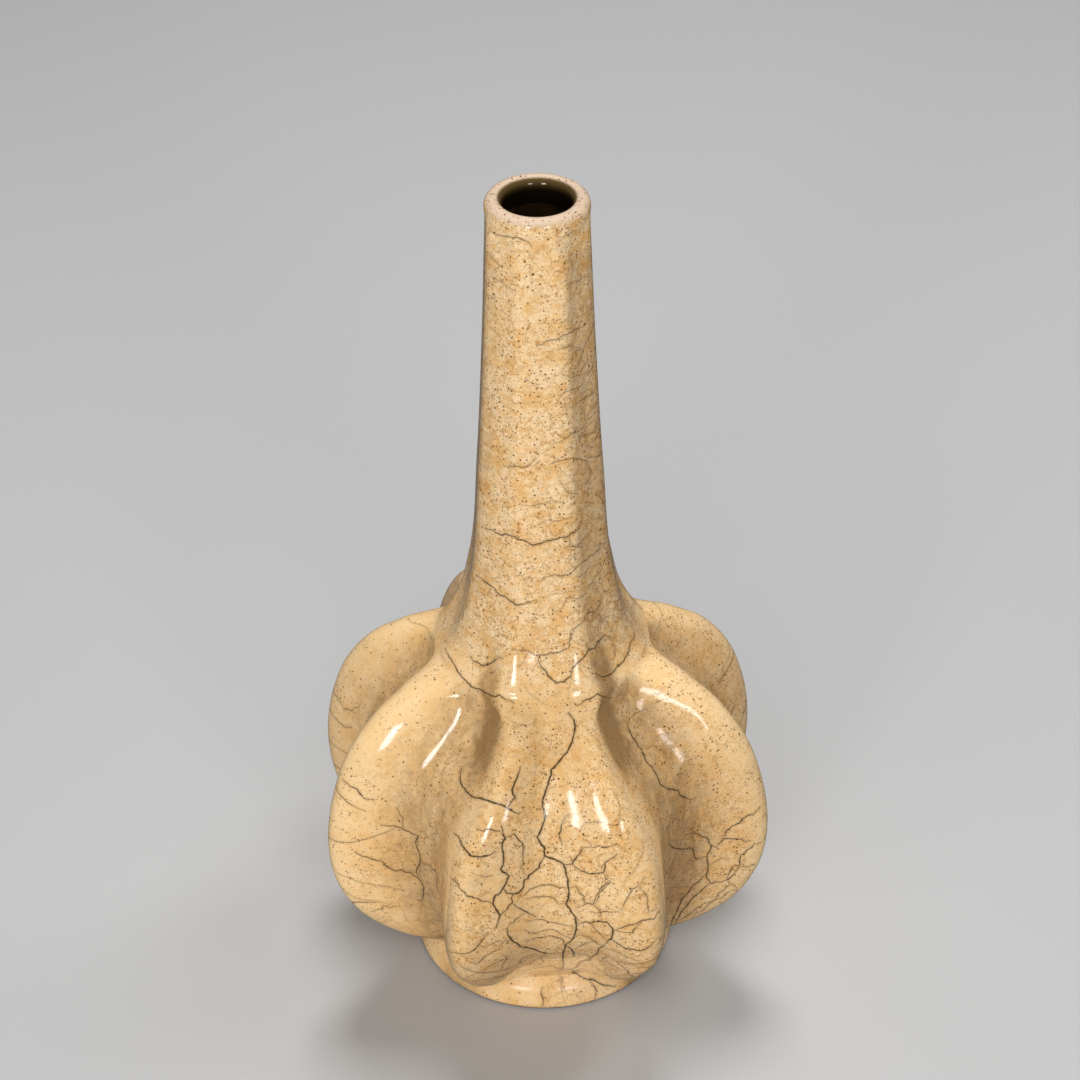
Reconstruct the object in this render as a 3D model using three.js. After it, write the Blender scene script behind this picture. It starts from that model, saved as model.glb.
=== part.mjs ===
// Eight-lobed ceramic bottle with a tall octagonal neck, built as the sections a potter joins with slip.
// Millimetres, +Z up, standing on z = 0 with the axis on Z.
import * as THREE from 'three';

// Overall layout, stacked from the table upwards
const lobes = 8;
const footHeight = 10;
const floorThickness = 5;
const bodyHeight = 102;
const neckLength = 131;
const lipHeight = 7;

// Foot ring
const footRadius = 38.2;
const footEdgeHeight = 3;
const footTopRadius = 33.5;
const footBoreRadius = 29.5;

// Belly radii over a lobe ridge, over the valley between two lobes and over the fuller panel at the front
const girthRidgeRadius = 67.5;
const girthValleyRadius = 49.2;
const girthPanelRadius = 57.5;
const girthHeight = 48;
const neckBaseRidgeRadius = 29.5;
const neckBaseValleyRadius = 28.2;

// Neck and mouth
const neckTopRadius = 14;
const neckFacetDepth = 0.8;
const mouthBoreRadius = 9;
const lipRadius = 13.6;

// Walls
const bodyWall = 6;
const neckWall = 4.3;
const innerFollow = 0.85;

// Shape of a lobe across, at the girth, near the foot and on the neck: larger is a narrower ridge
const ridgeSharpness = { girth: 1.8, foot: 1.3, neck: 1.3 };
const panelSharpness = { girth: 1.2, foot: 2.2, neck: 1.3 };

// The front panel gathers into a tongue under the neck and spreads towards the foot
const gatherTurn = THREE.MathUtils.degToRad(9);
const spreadTurn = THREE.MathUtils.degToRad(3);
const notchTurn = THREE.MathUtils.degToRad(4);
const gatherDrop = 42;

// Mesh fineness
const stepsPerLobe = 10;
const roundSteps = 80;

// Heights of the joints between sections
const floorTop = footHeight + floorThickness;
const girthLevel = footHeight + girthHeight;
const neckBase = footHeight + bodyHeight;
const collarBottom = neckBase - 14;
const collarTop = neckBase + 8;
const neckTop = neckBase + neckLength;
const neckJoint = (collarTop + neckTop) / 2;
const mouthTop = neckTop + lipHeight;

// Meridian over a ridge: radius against height; a notch parts the lobe from the corner of the flare
const ridgeMeridian = [
  [footTopRadius, footHeight],
  [girthRidgeRadius - 28.0, footHeight + 2],
  [girthRidgeRadius - 21.5, footHeight + 5.5],
  [girthRidgeRadius - 15.5, footHeight + 10.5],
  [girthRidgeRadius - 8.9, footHeight + 18],
  [girthRidgeRadius - 2.7, girthLevel - 18],
  [girthRidgeRadius, girthLevel],
  [girthRidgeRadius - 0.9, girthLevel + 9],
  [girthRidgeRadius - 3.0, girthLevel + 18],
  [girthRidgeRadius - 6.8, girthLevel + 28],
  [girthRidgeRadius - 12.0, neckBase - 18],
  [girthRidgeRadius - 17.2, neckBase - 12.5],
  [neckBaseRidgeRadius + 15.8, neckBase - 9],
  [neckBaseRidgeRadius + 11.0, neckBase - 6],
  [neckBaseRidgeRadius + 6.5, neckBase - 4.2],
  [neckBaseRidgeRadius + 2.3, neckBase - 2.8],
  [neckBaseRidgeRadius, neckBase],
  [neckBaseRidgeRadius - 2.2, neckBase + 3.5],
  [neckTopRadius + 10.6, neckBase + 9],
  [neckTopRadius + 6.9, neckBase + 23],
  [neckTopRadius + 3.6, neckBase + 58],
  [neckTopRadius + 1.6, neckBase + 93],
  [neckTopRadius, neckTop],
];

// Meridian along the neck's facets, where valleys and front panel run on
const facetMeridian = [
  [neckBaseValleyRadius, neckBase],
  [neckTopRadius + 12.4 - neckFacetDepth, neckBase + 4],
  [neckTopRadius + 9.6 - neckFacetDepth, neckBase + 9],
  [neckTopRadius + 6.5 - neckFacetDepth, neckBase + 23],
  [neckTopRadius + 3.6 - neckFacetDepth, neckBase + 58],
  [neckTopRadius + 1.6 - neckFacetDepth, neckBase + 93],
  [neckTopRadius - neckFacetDepth, neckTop],
];

// Meridian along a valley: it turns in under the flare of the neck
const valleyMeridian = [
  [footTopRadius, footHeight],
  [girthValleyRadius - 13.6, footHeight + 3.5],
  [girthValleyRadius - 10.6, footHeight + 10],
  [girthValleyRadius - 6.6, footHeight + 20],
  [girthValleyRadius - 2.6, girthLevel - 16],
  [girthValleyRadius, girthLevel - 2],
  [girthValleyRadius + 0.4, girthLevel + 8],
  [girthValleyRadius - 0.2, girthLevel + 16],
  [girthValleyRadius - 1.8, girthLevel + 22],
  [girthValleyRadius - 4.6, girthLevel + 28],
  [girthValleyRadius - 7.6, neckBase - 22],
  [neckBaseValleyRadius + 10.0, neckBase - 18],
  [neckBaseValleyRadius + 6.6, neckBase - 14],
  [neckBaseValleyRadius + 4.0, neckBase - 10],
  [neckBaseValleyRadius + 2.7, neckBase - 7],
  [neckBaseValleyRadius + 2.2, neckBase - 4.5],
  [neckBaseValleyRadius + 2.0, neckBase - 3],
  ...facetMeridian,
];

// Meridian down the middle of the front panel, between the two front ridges
const panelMeridian = [
  [footTopRadius, footHeight],
  [girthPanelRadius - 21.5, footHeight + 3.5],
  [girthPanelRadius - 17.1, footHeight + 10],
  [girthPanelRadius - 10.3, footHeight + 20],
  [girthPanelRadius - 3.3, girthLevel - 14],
  [girthPanelRadius, girthLevel],
  [girthPanelRadius + 0.3, girthLevel + 9],
  [girthPanelRadius - 1.1, girthLevel + 19],
  [girthPanelRadius - 3.9, girthLevel + 28],
  [girthPanelRadius - 7.2, neckBase - 20],
  [girthPanelRadius - 11.1, neckBase - 15.5],
  [neckBaseValleyRadius + 13.8, neckBase - 12.5],
  [neckBaseValleyRadius + 9.4, neckBase - 10],
  [neckBaseValleyRadius + 6.0, neckBase - 7.5],
  [neckBaseValleyRadius + 3.4, neckBase - 4.5],
  [neckBaseValleyRadius + 1.6, neckBase - 2],
  ...facetMeridian,
];

// Smooth curve through [radius, height] points, with slopes from neighbouring points
function radiusAt(points, height) {
  const last = points.length - 1;
  let i = 0;
  while (i < last - 1 && height > points[i + 1][1]) {
    i += 1;
  }
  const chord = (k) => (points[k + 1][0] - points[k][0]) / (points[k + 1][1] - points[k][1]);
  const slope = (k) => {
    if (k === 0) {
      return chord(0);
    }
    if (k === last) {
      return chord(last - 1);
    }
    const before = points[k][1] - points[k - 1][1];
    const after = points[k + 1][1] - points[k][1];
    return (chord(k - 1) * after + chord(k) * before) / (before + after);
  };
  const span = points[i + 1][1] - points[i][1];
  const t = THREE.MathUtils.clamp((height - points[i][1]) / span, 0, 1);
  const h00 = (1 + 2 * t) * (1 - t) * (1 - t);
  const h10 = t * (1 - t) * (1 - t);
  const h01 = t * t * (3 - 2 * t);
  const h11 = t * t * (t - 1);
  return h00 * points[i][0] + h10 * span * slope(i) + h01 * points[i + 1][0] + h11 * span * slope(i + 1);
}

// Angles of the first and second ridge on either side of the middle of the front panel, which is phase 0
const nearRidge = Math.PI / lobes;
const farRidge = 3 * nearRidge;

function fromFront(phase) {
  return THREE.MathUtils.euclideanModulo(phase + Math.PI, 2 * Math.PI) - Math.PI;
}

function onPanel(phase) {
  return Math.abs(fromFront(phase)) < nearRidge;
}

// Share of the way from valley to ridge
function lobeShare(phase, height) {
  const sharpness = onPanel(phase) ? panelSharpness : ridgeSharpness;
  const { lerp, smoothstep } = THREE.MathUtils;
  const body = lerp(sharpness.foot, sharpness.girth, smoothstep(height, footHeight + 14, girthLevel - 2));
  const power = lerp(body, sharpness.neck, smoothstep(height, neckBase - 6, neckBase));
  return Math.pow((1 - Math.cos(lobes * phase)) / 2, power);
}

// How far the front panel's sides turn at a height: towards the middle above, apart and notched below
function lobeLean(phase, height) {
  const { smoothstep } = THREE.MathUtils;
  const away = fromFront(phase);
  const pull = Math.abs(away) < farRidge ? Math.sin((Math.PI * away) / farRidge) : 0;
  const middle = onPanel(phase) ? (1 + Math.cos(lobes * away)) / 2 : 0;
  const low = 1 - smoothstep(height, footHeight + 14, girthLevel + 12);
  const gathered = smoothstep(height, neckBase - gatherDrop, neckBase - 5);
  const released = smoothstep(height, neckBase - 6, neckBase - 1);
  return (spreadTurn * low - gatherTurn * gathered * (1 - released)) * pull + notchTurn * low * middle;
}

function outerRadius(phase, height) {
  const low = radiusAt(onPanel(phase) ? panelMeridian : valleyMeridian, height);
  const ridge = radiusAt(ridgeMeridian, height);
  return low + (ridge - low) * lobeShare(phase, height);
}

// The cavity follows the outside, a little less deeply over the ridges
function innerRadius(phase, height) {
  const { lerp, smoothstep } = THREE.MathUtils;
  const depth = radiusAt(ridgeMeridian, height) - radiusAt(valleyMeridian, height);
  const wall = lerp(bodyWall, neckWall, smoothstep(height, girthLevel, neckBase));
  const thicker = (1 - innerFollow) * depth * lobeShare(phase, height);
  return Math.max(outerRadius(phase, height) - wall - thicker, mouthBoreRadius);
}

// One ring of points at a height; the angle runs from the front (-Y) towards +X
function ring(radiusOf, height) {
  const count = lobes * stepsPerLobe;
  return Array.from({ length: count }, (_, k) => {
    const phase = (k / count) * Math.PI * 2;
    const angle = phase + lobeLean(phase, height);
    const radius = radiusOf(phase, height);
    return new THREE.Vector3(radius * Math.sin(angle), -radius * Math.cos(angle), height);
  });
}

// Heights evenly spaced from one joint to the next
function levels(from, to, steps) {
  return Array.from({ length: steps + 1 }, (_, k) => from + ((to - from) * k) / steps);
}

// Closed body from rings joined in order; capped ends close on the axis, else the last meets the first
function bodyFromRings(rings, capped) {
  const count = rings[0].length;
  const positions = rings.flat().flatMap((p) => [p.x, p.y, p.z]);
  const index = [];
  const strips = capped ? rings.length - 1 : rings.length;
  for (let i = 0; i < strips; i += 1) {
    const lower = i * count;
    const upper = ((i + 1) % rings.length) * count;
    for (let k = 0; k < count; k += 1) {
      const next = (k + 1) % count;
      index.push(lower + k, lower + next, upper + next, lower + k, upper + next, upper + k);
    }
  }
  if (capped) {
    const bottom = positions.length / 3;
    const top = bottom + 1;
    const lastRing = (rings.length - 1) * count;
    positions.push(0, 0, rings[0][0].z, 0, 0, rings[rings.length - 1][0].z);
    for (let k = 0; k < count; k += 1) {
      const next = (k + 1) % count;
      index.push(bottom, next, k, top, lastRing + k, lastRing + next);
    }
  }
  const geometry = new THREE.BufferGeometry();
  geometry.setAttribute('position', new THREE.Float32BufferAttribute(positions, 3));
  geometry.setIndex(index);
  geometry.computeVertexNormals();
  return geometry;
}

// Hollow wall section between two joints
function wallSection(bottom, top, outerSteps, innerSteps) {
  const outside = levels(bottom, top, outerSteps).map((height) => ring(outerRadius, height));
  const inside = levels(bottom, top, innerSteps).map((height) => ring(innerRadius, height)).reverse();
  return bodyFromRings([...outside, ...inside], false);
}

// Solid floor that closes the body over the foot ring
function floorSection() {
  return bodyFromRings(levels(footHeight, floorTop, 2).map((height) => ring(outerRadius, height)), true);
}

// Round section turned about the axis from [radius, height] points that run counter-clockwise
function turned(points) {
  const profile = points.map(([radius, height]) => new THREE.Vector2(radius, height));
  profile.push(profile[0].clone());
  const geometry = new THREE.LatheGeometry(profile, roundSteps);
  geometry.rotateX(Math.PI / 2);
  return geometry;
}

// Splayed foot ring with a slightly rounded outer edge
function footSection() {
  return turned([
    [footBoreRadius + 0.8, 0],
    [footRadius - 1.2, 0],
    [footRadius - 0.3, 0.5],
    [footRadius, footEdgeHeight / 2],
    [footRadius - 0.3, footEdgeHeight],
    [footRadius - 1.8, (footEdgeHeight + footHeight) / 2],
    [footTopRadius, footHeight],
    [footBoreRadius, footHeight],
    [footBoreRadius, 1],
  ]);
}

// Rolled lip: the outside runs on from the neck's facets, grows round and turns over into the bore
function lipSection() {
  const crownRadius = (lipRadius - mouthBoreRadius) / 2;
  const crownCentre = mouthBoreRadius + crownRadius;
  const crownHeight = mouthTop - crownRadius;
  const crownSteps = 8;
  const rising = levels(neckTop, crownHeight, 3).map((height) => {
    const round = THREE.MathUtils.smoothstep(height, neckTop, crownHeight);
    return ring((phase) => THREE.MathUtils.lerp(outerRadius(phase, neckTop), lipRadius, round), height);
  });
  const crown = Array.from({ length: crownSteps }, (_, k) => {
    const angle = ((k + 1) / crownSteps) * Math.PI;
    const radius = crownCentre + crownRadius * Math.cos(angle);
    return ring(() => radius, crownHeight + crownRadius * Math.sin(angle));
  });
  return bodyFromRings([...rising, ...crown, ring(() => mouthBoreRadius, neckTop)], false);
}

const glaze = { color: 0xe8c493, roughness: 0.18, metalness: 0 };
const thinGlaze = { color: 0xe2c3a0, roughness: 0.25, metalness: 0 };
const bareClay = { color: 0x6b3f2c, roughness: 0.8, metalness: 0 };

function piece(name, geometry, finish) {
  const mesh = new THREE.Mesh(geometry, new THREE.MeshStandardMaterial(finish));
  mesh.name = name;
  return mesh;
}

const bottle = new THREE.Group();
bottle.add(piece('foot_ring', footSection(), bareClay));
bottle.add(piece('base_floor', floorSection(), glaze));
bottle.add(piece('lower_body', wallSection(floorTop, girthLevel, 9, 5), glaze));
bottle.add(piece('upper_body', wallSection(girthLevel, collarBottom, 10, 6), glaze));
bottle.add(piece('shoulder_collar', wallSection(collarBottom, collarTop, 16, 6), glaze));
bottle.add(piece('neck_lower', wallSection(collarTop, neckJoint, 5, 2), glaze));
bottle.add(piece('neck_upper', wallSection(neckJoint, neckTop, 3, 2), glaze));
bottle.add(piece('mouth_rim', lipSection(), thinGlaze));

export default bottle;
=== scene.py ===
import math
from collections import namedtuple
import bpy
import numpy as np
from mathutils import Matrix, Vector
from mathutils.bvhtree import BVHTree
from mathutils.kdtree import KDTree


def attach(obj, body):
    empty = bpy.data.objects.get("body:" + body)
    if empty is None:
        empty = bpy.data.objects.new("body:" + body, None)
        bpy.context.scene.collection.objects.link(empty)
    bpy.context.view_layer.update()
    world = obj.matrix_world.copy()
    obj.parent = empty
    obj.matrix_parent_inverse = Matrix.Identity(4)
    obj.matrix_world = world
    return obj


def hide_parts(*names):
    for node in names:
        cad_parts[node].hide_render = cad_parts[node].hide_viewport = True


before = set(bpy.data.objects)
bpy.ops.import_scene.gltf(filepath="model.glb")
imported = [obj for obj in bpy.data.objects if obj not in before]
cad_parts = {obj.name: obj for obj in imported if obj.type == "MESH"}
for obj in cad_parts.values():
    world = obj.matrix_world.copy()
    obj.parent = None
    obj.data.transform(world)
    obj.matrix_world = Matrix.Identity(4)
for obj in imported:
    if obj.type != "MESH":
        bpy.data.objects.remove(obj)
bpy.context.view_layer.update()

# Layout in millimetres, as the frame's solids have it
MM = 0.001
LOBES = 8
FOOT_HEIGHT = 10.0
FLOOR_TOP = 15.0
GIRTH_LEVEL = 58.0
COLLAR_BOTTOM = 98.0
NECK_BASE = 112.0
COLLAR_TOP = 120.0
NECK_JOINT = 181.5
NECK_TOP = 243.0
MOUTH_TOP = 250.0
FOOT_RADIUS = 38.2
FOOT_TOP_RADIUS = 33.5
FOOT_BORE_RADIUS = 29.5
MOUTH_BORE_RADIUS = 9.0
LIP_RADIUS = 13.6

# How narrow the ridges are at the girth, the foot and the neck, all round and on the front panel
RIDGE_SHARPNESS = (1.8, 1.3, 1.3)
PANEL_SHARPNESS = (1.2, 2.2, 1.3)

# Walls, how closely the inside follows the lobes, points round a ring and millimetres between rings
BODY_WALL = 6.0
NECK_WALL = 4.3
INNER_FOLLOW = 0.85
AROUND = 480
BODY_SPACING = 0.9
COLLAR_SPACING = 0.5
NECK_SPACING = 1.2

# Colours as display values from 0 to 255
GLAZE_WARM = (241, 198, 138)
GLAZE_MIDDLE = (244, 205, 149)
GLAZE_CREAM = (251, 222, 177)
GLAZE_OCHRE = (233, 178, 108)
GLAZE_MOTTLE = (196, 142, 74)
# Painted shade for the valleys, hollows, above the foot, on the panel and the neck's sides; also faint
# random blotches
PAINTED_SHADE_AND_BLOTCH = (108, 75, 33)
# Painted light over the crests
PAINTED_LIGHT_COLOUR = (255, 222, 170)
CRACK_DARK = (62, 51, 35)
CRACK_STAIN = (160, 122, 78)
SPECK_HALO = (186, 122, 62)
SPECK_BROWN = (72, 46, 24)
SPECK_DARK = (20, 12, 6)
RIM_PINK = (219, 195, 172)
# Painted shade inside the mouth and over the bottle's whole inside
MOUTH_EDGE_SHADE = (92, 72, 40)
MOUTH_DEEP_SHADE = (24, 17, 6)
INSIDE_SHADE_BROWN = (58, 40, 22)
BARE_CLAY = (96, 54, 40)

# Painted shade: how much the glaze is darkened in the valleys, hollows, just above the foot, on the panel
# and on the neck's sides; painted light: how much it is lightened over the crests
PAINTED_SHADE_VALLEY = 0.36
PAINTED_SHADE_HOLLOW = 0.50
PAINTED_SHADE_NECK = 0.32
PAINTED_SHADE_PANEL = 0.24
PAINTED_SHADE_UNDER = 0.26
PAINTED_LIGHT_CREST = 0.35

# Where the painted shade lies, as from, to and fade: angles in degrees from the front, heights in
# millimetres
SIDE_START = (20, 30)
RIGHT_VALLEY = (30, 52, 14)
RIGHT_MORE = 0.2
HOLLOW_ANGLE = (32, 36, 9)
HOLLOW_HEIGHT = (99, 112, 11)
UNDER_HEIGHT = (FOOT_HEIGHT, 12, 9)
PANEL_ANGLE = (-20, -9, 7)
PANEL_HEIGHT = (34, 96, 12)
NECK_HEIGHT = (NECK_BASE + 6, 236, 8)
NECK_RIGHT = (34, 90, 16)
NECK_LEFT = (58, 90, 20)
NECK_LEFT_SHARE = 0.7

# Fades in millimetres by height, depth, width or the mouth's radius, and how ragged noise makes them
NECK_FADE = (102, 125)
FRONT_FADE = (-15, -42)
BASE_FADE = (10, 16)
SIDE_FADE = (-30, 45)
NECK_SIDE_FADE = (-4, 12)
LOW_FADE = (100, 55)
LIP_FADE = (248.4, 250.3)
LIP_RAGGED = 1.2
# Fades of the painted shade inside the mouth
MOUTH_EDGE_FADE = (10.6, 9.7)
MOUTH_DARK_FADE = (10.6, 9.8)
MOUTH_DEEP_FADE = (249.5, 246.5)
BARE_FADE = (1.4, 1.0)
BARE_RAGGED = 0.6

# Patterns of the glaze as waves per metre, octaves and roughness, then slant and stretch
CLOUD = (150, 4, 0.62)
BLOTCH = (420, 4, 0.62)
BROAD = (24, 2, 0.5)
RUST = (650, 4, 0.65)
GRAIN = (1900, 3, 0.7)
CLUSTER = (130, 3, 0.6)
STREAKS = (230, 3, 0.6)
# Streaks that break up the painted shade
SHADE_STREAKS = (420, 3, 0.6)
PATCHES = (45, 3, 0.5)
WAVES = (60, 2, 0.5)
PITS = (520, 3, 0.6)
CRUMPLES = (900, 2, 0.6)
# Clouding of the painted shade inside the bottle
MOUTH_CLOUD = (90, 3, 0.5)
STREAK_SLANT = math.radians(40)
STREAK_STRETCH = (1.0, 1.0, 2.0)
# Upright stretch of the streaks in the painted shade
SHADE_STREAK_STRETCH = (1.0, 1.0, 0.12)

# How patterns are pushed about: waves per metre and reach in metres
WANDER = (90, 0.006)

# Nets of hairlines as cells per metre, width in metres and wander
WIDE_NET = (170, 0.00030, (140, 0.007))
CLOSE_NET = (330, 0.00024, (260, 0.004))

# Iron specks as cells per metre, largest radius in metres, start of the pattern and wander
TINY_SPECKS = (1500, 0.00018, 5, (900, 0.0004))
SMALL_SPECKS = (950, 0.00024, 3, (900, 0.0004))
LARGE_SPECKS = (520, 0.00028, 11, (700, 0.0005))

# Meridians as [radius, height]: over a ridge, along the neck's facets, along a valley and down the panel
RIDGE = [
    [33.5, 10], [39.5, 12], [46.0, 15.5], [52.0, 20.5], [58.6, 28], [64.8, 40], [67.5, 58], [66.6, 67],
    [64.5, 76], [60.7, 86], [55.5, 94], [50.3, 99.5], [45.3, 103], [40.5, 106], [36.0, 107.8],
    [31.8, 109.2], [29.5, 112], [27.3, 115.5], [24.6, 121], [20.9, 135], [17.6, 170], [15.6, 205],
    [14.0, 243],
]
FACET = [[28.2, 112], [25.6, 116], [22.8, 121], [19.7, 135], [16.8, 170], [14.8, 205], [13.2, 243]]
VALLEY = [
    [33.5, 10], [35.6, 13.5], [38.6, 20], [42.6, 30], [46.6, 42], [49.2, 56], [49.6, 66], [49.0, 74],
    [47.4, 80], [44.6, 86], [41.6, 90], [38.2, 94], [34.8, 98], [32.2, 102], [30.9, 105], [30.4, 107.5],
    [30.2, 109],
] + FACET
PANEL = [
    [33.5, 10], [36.0, 13.5], [40.4, 20], [47.2, 30], [54.2, 44], [57.5, 58], [57.8, 67], [56.4, 77],
    [53.6, 86], [50.3, 92], [46.4, 96.5], [42.0, 99.5], [37.6, 102], [34.2, 104.5], [31.6, 107.5],
    [29.8, 110],
] + FACET

# The front panel gathers into a tongue under the neck and spreads towards the foot
GATHER = math.radians(9)
SPREAD = math.radians(3)
NOTCH = math.radians(4)
GATHER_START = 70.0
NEAR_RIDGE = math.pi / LOBES
FAR_RIDGE = 3 * NEAR_RIDGE

# Camera as the photograph has it
CAMERA_DISTANCE = 0.62928
CAMERA_HEIGHT = 0.60195
CAMERA_PITCH = 36.12
CAMERA_YAW = -0.02
CAMERA_ROLL = -0.63
CAMERA_AZIMUTH = 3.15
CAMERA_LENS = 94.742
PHOTO_SIZE = 1080
SENSOR_WIDTH = 36

# Height in metres that the lights are aimed at
LIGHT_TARGET = 0.09

# Half width in millimetres and depth of tone of the kinds of crack
BOLD = (0.25, 0.97)
FINE = (0.19, 0.90)
PALE = (0.17, 0.74)
THIN = (0.16, 0.70)
FAINT = (0.15, 0.50)
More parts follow.
